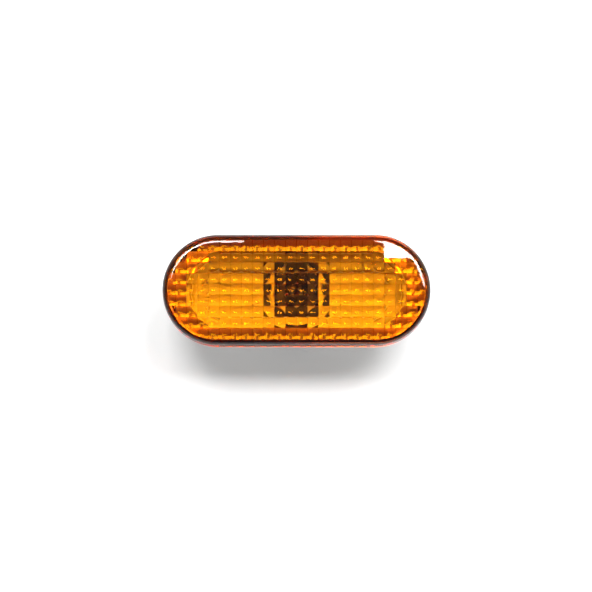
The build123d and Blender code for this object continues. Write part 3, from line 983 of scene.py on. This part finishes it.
def turret(sizes, front, back):
    """Turret with the seal's groove, and the scalloped grip flange behind it."""
    grip_front, grip = back + sizes.grip_thickness, HOLDER_HIGH.y - AXIS[1]
    radius, floor, edge = sizes.turret, sizes.groove_radius, 0.4 * MM
    groove_low, groove_high = around(front - sizes.seal_depth, sizes.groove_width / 2)
    rings = [
        (radius - edge, front), (radius, front - edge), (radius, groove_high), (floor, groove_high),
        (floor, groove_low), (radius, groove_low), (radius, grip_front)
    ]
    rings += arc((grip - edge, grip_front - edge), edge, QUARTER, 0, 4)
    rings += arc((grip - edge, back + edge), edge, 0, -QUARTER, 4)
    body = turned("bulb_socket", rings)
    far = grip - sizes.scallop_depth + sizes.scallop_radius
    rings = [(sizes.scallop_radius, back - PAST), (sizes.scallop_radius, grip_front + 0.2 * MM)]
    scallops = 10
    for index in range(scallops):
        turn = index * math.tau / scallops
        spot = (AXIS[0] + far * math.cos(turn), AXIS[1] + far * math.sin(turn))
        cut(body, turned("scallop", rings, spot, 64))
    return body


def socket_shroud(sizes, back):
    """Connector socket with rounded edges, a key rib inside and a latch ramp outside."""
    x, y = sizes.shroud_length / 2, sizes.shroud_width / 2
    wall, corner, low = sizes.shroud_wall, sizes.shroud_corner, HOLDER_LOW.z
    height = (low, back + PAST)
    shroud = block("shroud", around(0, x), around(AXIS[1], y), height, corner=corner, edge=0.3 * MM)
    spans = around(0, x - wall), around(AXIS[1], y - wall), (low - PAST, back)
    cut(shroud, block("hollow", *spans, corner=corner - wall))
    near, sink = AXIS[1] - y + wall, 0.5 * MM
    spans = (5.7 * MM, 6.7 * MM), (near - wall / 2, near + 1 * MM), (low + sink, back + sink)
    key = block("key", *spans, edge=0.15 * MM)
    face, ramp_low, tall, proud = AXIS[1] + y, low + 2 * MM, 3 * MM, 1.1 * MM
    spans = around(0, 2.5 * MM), (face - wall / 2, face + proud), (ramp_low, ramp_low + tall)
    ramp = block("ramp", *spans, edge=0.12 * MM)
    slice_off(ramp, (0, face, ramp_low), (0, tall, -proud))
    return join(shroud, key, ramp)


class LAMP_OT_holder(Operator):
    """Models the bulb holder: turret, lugs, grip flange and connector socket"""

    bl_idname = "lamp.holder"
    bl_label = "Bulb holder"

    def execute(self, context):
        sizes, housing = context.scene.bulb_sizes, context.scene.housing_sizes
        front, back = HOLDER_HIGH.z, HOLDER_LOW.z + sizes.shroud_depth
        body = join(turret(sizes, front, back), socket_shroud(sizes, back))
        low = HOUSING_LOW.z + housing.slot_web + (housing.slot_height - sizes.lug_length) / 2
        share = math.asin(housing.lug_width / 2 / (sizes.turret + sizes.lug_reach / 2))
        walls = (sizes.turret - PAST, sizes.turret + sizes.lug_reach)
        for locked in LUG_TURNS:
            lug = sector("lug", *walls, low, low + sizes.lug_length, locked - share, locked + share)
            join(body, lug)
        recess, bevel = sizes.recess_radius, 0.3 * MM
        rings = [(recess, front - sizes.recess_depth), (recess, front - bevel)]
        rings.append((recess + 2 * bevel, front + bevel))
        x, y, floor = sizes.pocket_length / 2, sizes.pocket_width / 2, front - sizes.pocket_depth
        pocket = block("pocket", around(0, x), around(AXIS[1], y), (floor, front + PAST))
        cut(body, turned("recess", rings), pocket)
        play, past = 0.05 * MM, 0.1 * MM
        for side in (-1, 1):
            x_span = around(side * sizes.tab_middle, sizes.tab_thickness / 2 + play)
            y_span = around(AXIS[1], sizes.tab_width / 2 + play)
            cut(body, block("tab_slot", x_span, y_span, (back - past, floor + past)))
        finish_piece(body, black_plastic(), "bulb_unit", "bulb_holder")
        return {"FINISHED"}


class LAMP_OT_seal(Operator):
    """Models the rubber seal of the bulb holder, with two lips"""

    bl_idname = "lamp.seal"
    bl_label = "Holder seal"

    def execute(self, context):
        low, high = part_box("holder_seal")
        outer = high.y - AXIS[1]
        inner, foot, valley = outer - 1.8 * MM, outer - 0.7 * MM, outer - 0.45 * MM
        bevel, lip, lip_end, inset = 0.2 * MM, 0.32 * MM, math.pi / 3, 0.42 * MM
        rings = [(inner, low.z + bevel), (inner + bevel, low.z), (foot, low.z)]
        rings += arc((outer - lip, low.z + inset), lip, -QUARTER, lip_end, 6)
        rings.append((valley, (low.z + high.z) / 2))
        rings += arc((outer - lip, high.z - inset), lip, -lip_end, QUARTER, 6)
        rings += [(foot, high.z), (inner + bevel, high.z), (inner, high.z - bevel)]
        piece = turned("lip_seal", rings, closed=True)
        finish_piece(piece, seal_rubber(), "bulb_unit", "holder_seal")
        return {"FINISHED"}


def contact_fork(sizes, floor, plate, middle):
    """Strip across the pocket's floor, whose two arms pinch the bulb's base and its lead."""
    gauge, play = sizes.contact_gauge, 0.05 * MM
    glass_pinch = sizes.wedge_thickness / 2 + play + gauge / 2
    wire_pinch = glass_pinch + sizes.lead_diameter + play
    spread, flare = 2.35 * MM, 0.5 * MM
    bend, waist, tip = floor + 1.2 * MM, floor + 4.3 * MM, floor + 6 * MM
    profile = [
        (-glass_pinch - flare, tip), (-glass_pinch, waist), (-spread, bend), (-spread, plate),
        (spread, plate), (spread, bend), (wire_pinch, waist), (wire_pinch + flare, tip)
    ]
    route = [Vector((middle, AXIS[1] + y, z)) for y, z in profile]
    fork = outline("brass_contact_right", route[0], route[1] - route[0], (1, 0, 0), 2.2 * MM, gauge)
    sweep(route, 0.3 * MM, 4)
    return fork


class LAMP_OT_contacts(Operator):
    """Models one brass contact, its fork and its tab, and copies it for the other side"""

    bl_idname = "lamp.contacts"
    bl_label = "Contacts"

    def execute(self, context):
        sizes = context.scene.bulb_sizes
        middle, floor = sizes.tab_middle, HOLDER_HIGH.z - sizes.pocket_depth
        plate = floor + 0.05 * MM + sizes.contact_gauge / 2
        fork = contact_fork(sizes, floor, plate, middle)
        tip = HOLDER_LOW.z + sizes.shroud_depth - sizes.tab_length
        half, wide, point = sizes.tab_thickness / 2, sizes.tab_width / 2, 0.22 * MM
        spans = around(middle, half), around(AXIS[1], wide), (tip, plate)
        tab = block("tab", *spans, edge=0.06 * MM)
        for axis, reach in ((Vector((1, 0, 0)), half), (Vector((0, 1, 0)), wide)):
            for side in (-1, 1):
                spot = Vector((middle, AXIS[1], tip)) + axis * side * (reach - point)
                slice_off(tab, spot, axis * side - Vector((0, 0, 0.8)))
        join(fork, tab)
        copy, brass = half_turn_copy(fork, "brass_contact_left"), rolled_metal("contact_brass")
        finish_piece(fork, brass, "bulb_unit", "contact_right")
        finish_piece(copy, brass, "bulb_unit", "contact_left")
        return {"FINISHED"}


def bulb_glass(sizes):
    """Round envelope pinched into a flat wedge base, hollow above it."""
    low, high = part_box("bulb_glass")
    radius = high.y - AXIS[1]
    wedge_top = low.z + sizes.wedge_height
    shoulder = wedge_top + sizes.shoulder_rise
    x, y = sizes.wedge_width / 2, sizes.wedge_thickness / 2
    # The dome starts just off its pole, where a ring would have no size
    centre, pole = (0, high.z - radius), 0.985 * QUARTER
    rings = arc(centre, radius, pole, 0, 18) + [(radius, shoulder)]
    steps = 6
    for step in range(1, steps + 1):
        part = step / steps
        ease = part * part * (3 - 2 * part)
        sides = (radius + (goal - radius) * ease for goal in (x, y + 0.1 * MM))
        rings.append((*sides, shoulder + (wedge_top - shoulder) * part))
    piece = turned("bulb_envelope", rings, corners=64)
    spans = around(0, x), around(AXIS[1], y), (low.z, wedge_top + 0.6 * MM)
    join(piece, block("wedge", *spans, corner=0.6 * MM, edge=0.25 * MM))
    inner = radius - sizes.glass_wall
    cut(piece, turned("void", arc(centre, inner, pole, 0, 18) + [(inner, shoulder)], corners=64))
    hole = sizes.lead_diameter / 2 + 0.03 * MM
    for side in (-1, 1):
        rings = [(hole, low.z - PAST), (hole, shoulder + PAST)]
        cut(piece, turned("channel", rings, (side * sizes.lead_middle, AXIS[1]), 20))
    finish_piece(piece, clear_glass(), "bulb_unit", "bulb_glass")


def bulb_lead(sizes):
    """Wire from the filament, out over its kink, down through the base and folded up its face."""
    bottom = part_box("bulb_glass")[0].z
    low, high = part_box("bulb_filament")
    height = (low.z + high.z) / 2
    thick, play = sizes.lead_diameter, 0.05 * MM
    fold, kink = bottom - play - thick / 2, height - 4.5 * MM
    axis, face = AXIS[1], AXIS[1] + sizes.wedge_thickness / 2 + play + thick / 2
    inner, outer = 2.2 * MM, sizes.lead_middle
    route = [
        (inner, axis, height + 0.6 * MM), (inner, axis, kink), (outer, axis, kink - 4 * MM),
        (outer, axis, fold), (outer, face, fold), (outer, face, bottom + 3.4 * MM)
    ]
    piece = outline("bulb_wire_right", route[0], (0, 0, -1), (1, 0, 0), thick, thick)
    sweep(route, thick / 2 + 0.02 * MM, 5)
    return piece


def filament_coil(sizes):
    """Fine coil between the leads."""
    low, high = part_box("bulb_filament")
    wire, pitch = sizes.coil_wire, sizes.coil_pitch
    radius = (high.z - low.z) / 2 - wire / 2
    turns = math.floor((high.x - low.x - 2 * wire) / pitch)
    deselect()
    start = (-turns * pitch / 2, 0, radius)
    bpy.ops.mesh.primitive_circle_add(
        vertices=8, radius=wire / 2, location=start, rotation=(QUARTER, 0, 0)
    )
    piece = name_new("filament_coil")
    apply_modifier(
        piece, "SCREW", axis="X", angle=math.tau, screw_offset=pitch, iterations=turns, steps=16,
        render_steps=16, use_merge_vertices=False
    )
    edit()
    bpy.ops.mesh.remove_doubles(threshold=MERGE)
    pick_border()
    bpy.ops.mesh.edge_face_add()
    face_outwards()
    bpy.ops.transform.translate(value=(low + high) / 2)
    deselect()
    tungsten = rolled_metal("filament_wire")
    finish_piece(piece, tungsten, "bulb_unit", "bulb_filament")


class LAMP_OT_bulb(Operator):
    """Models the bulb: glass, two leads and the coiled filament"""

    bl_idname = "lamp.bulb"
    bl_label = "Bulb"

    def execute(self, context):
        sizes = context.scene.bulb_sizes
        bulb_glass(sizes)
        lead = bulb_lead(sizes)
        copy, metal = half_turn_copy(lead, "bulb_wire_left"), rolled_metal("lead_wire")
        finish_piece(lead, metal, "bulb_unit", "bulb_lead_right")
        finish_piece(copy, metal, "bulb_unit", "bulb_lead_left")
        filament_coil(sizes)
        return {"FINISHED"}


def floor_material(studio):
    """White paper, shown over its white by a gain, so that only deep shadows darken it."""
    shader = new_shader("floor_paper")
    camera = shader.add("ShaderNodeLightPath", output="Is Camera Ray")
    albedo = 0.8
    shade = camera * (studio.floor_gain - albedo) + albedo
    paper = shader.add("ShaderNodeBsdfDiffuse", {"Color": shade})
    own = shader.add("ShaderNodeEmission", {"Color": WHITE, "Strength": 1.0})
    both = shader.add("ShaderNodeMixShader", {0: camera * studio.shadow_floor, 1: paper, 2: own})
    shader.add("ShaderNodeOutputMaterial", {"Surface": both})
    return shader.owner


def sky_world(studio):
    """Even light from all round, which the camera sees as plain white."""
    world = Shader(bpy.data.worlds.new("studio_air"))
    camera = world.add("ShaderNodeLightPath", output="Is Camera Ray")
    sky = world.add("ShaderNodeBackground", {"Color": WHITE, "Strength": studio.sky})
    white = world.add("ShaderNodeBackground", {"Color": WHITE, "Strength": 1.0})
    both = world.add("ShaderNodeMixShader", {0: camera, 1: sky, 2: white})
    world.add("ShaderNodeOutputWorld", {"Surface": both})
    return world.owner


def add_light(name, place, size, radiance, **seen_by):
    """Rectangular area light that looks straight down."""
    light = bpy.data.lights.new(name, "AREA")
    light.shape = "RECTANGLE"
    light.size, light.size_y = size
    light.energy = radiance * math.pi * size[0] * size[1]
    lamp = bpy.data.objects.new(name, light)
    lamp.location = place
    lamp.visible_camera = False
    for setting, seen in seen_by.items():
        setattr(lamp, setting, seen)
    bpy.context.scene.collection.objects.link(lamp)
    return light


def softbox(name, place, size, matt, sheen):
    """Softbox in two lights: one for matt surfaces, and one, the sheen, that gloss mirrors."""
    add_light(name, place, size, matt, visible_glossy=False, visible_transmission=False)
    just_over = place + Vector((0, 0, 1 * MM))
    shader = Shader(add_light(name + "_sheen", just_over, size, 1, visible_diffuse=False))
    depth = shader.add("ShaderNodeLightPath", output="Diffuse Depth")
    radiance = sheen - depth.at_most(1) * (sheen - matt)
    glow = shader.add("ShaderNodeEmission", {"Color": WHITE, "Strength": radiance})
    shader.add("ShaderNodeOutputLight", {"Surface": glow})


class LAMP_OT_studio(Operator):
    """Sets up the floor, the lights and the camera"""

    bl_idname = "lamp.studio"
    bl_label = "Studio"

    def execute(self, context):
        scene = context.scene
        studio = scene.lamp_studio
        deselect()
        bpy.ops.mesh.primitive_plane_add(size=8, location=(0, 0, cad_box[0].z))
        floor = context.object
        floor.name = "floor"
        floor.data.materials.append(floor_material(studio))
        scene.world = sky_world(studio)

        height = LENS_HIGH.z + studio.softbox_height
        right, left = Vector((0.218, 0.2, height)), Vector((-0.14, 0.2, height))
        softbox("right_softbox", right, (0.34, 0.254), studio.softbox, studio.right_sheen)
        softbox("left_softbox", left, (0.22, 0.21), studio.softbox, studio.left_sheen)

        camera_data = bpy.data.cameras.new("camera")
        camera_data.sensor_width = 36
        camera_data.lens = 36 * studio.distance / studio.view_width
        camera_data.clip_start = 0.01
        camera = bpy.data.objects.new("camera", camera_data)
        target = Vector((-0.18 * MM, -2.54 * MM, LENS_HIGH.z))
        back = Vector((0, -math.sin(studio.tilt), math.cos(studio.tilt)))
        camera.location = target + back * studio.distance
        camera.rotation_euler = (-back).to_track_quat("-Z", "Y").to_euler()
        scene.collection.objects.link(camera)
        scene.camera = camera
        scene.view_settings.view_transform = "Standard"
        scene.cycles.max_bounces = 32
        scene.cycles.transmission_bounces = 32
        scene.cycles.diffuse_bounces = 8
        scene.cycles.glossy_bounces = 8
        scene.cycles.blur_glossy = 0.0
        scene.cycles.sample_clamp_indirect = 0.0
        return {"FINISHED"}


class LAMP_PT_panel(Panel):
    """Lists the steps that make the lamp"""

    bl_idname = "LAMP_PT_panel"
    bl_label = "Turn Signal Lamp"
    bl_space_type = "VIEW_3D"
    bl_region_type = "UI"
    bl_category = "Turn Signal"

    def draw(self, context):
        for operator in OPERATORS:
            self.layout.operator(operator.bl_idname)
        for group in GROUPS:
            settings = getattr(context.scene, group)
            box = self.layout.box()
            for name in settings.__annotations__:
                box.prop(settings, name)


OPERATORS = (
    LAMP_OT_lens, LAMP_OT_housing, LAMP_OT_gasket, LAMP_OT_clip, LAMP_OT_holder, LAMP_OT_seal,
    LAMP_OT_contacts, LAMP_OT_bulb, LAMP_OT_studio
)
GROUPS = {
    "lens_sizes": LensSizes, "housing_sizes": HousingSizes, "bulb_sizes": BulbSizes,
    "lamp_finish": Finish, "lamp_studio": Studio
}
CLASSES = (*GROUPS.values(), *OPERATORS, LAMP_PT_panel)


def register():
    for cls in CLASSES:
        bpy.utils.register_class(cls)
    for name, group in GROUPS.items():
        setattr(bpy.types.Scene, name, PointerProperty(type=group))


def unregister():
    for name in GROUPS:
        delattr(bpy.types.Scene, name)
    for cls in reversed(CLASSES):
        bpy.utils.unregister_class(cls)


def main():
    """Makes every piece and the studio."""
    register()
    bpy.ops.lamp.lens()
    bpy.ops.lamp.housing()
    bpy.ops.lamp.gasket()
    bpy.ops.lamp.clip()
    bpy.ops.lamp.holder()
    bpy.ops.lamp.seal()
    bpy.ops.lamp.contacts()
    bpy.ops.lamp.bulb()
    bpy.ops.lamp.studio()


if __name__ == "__main__":
    main()
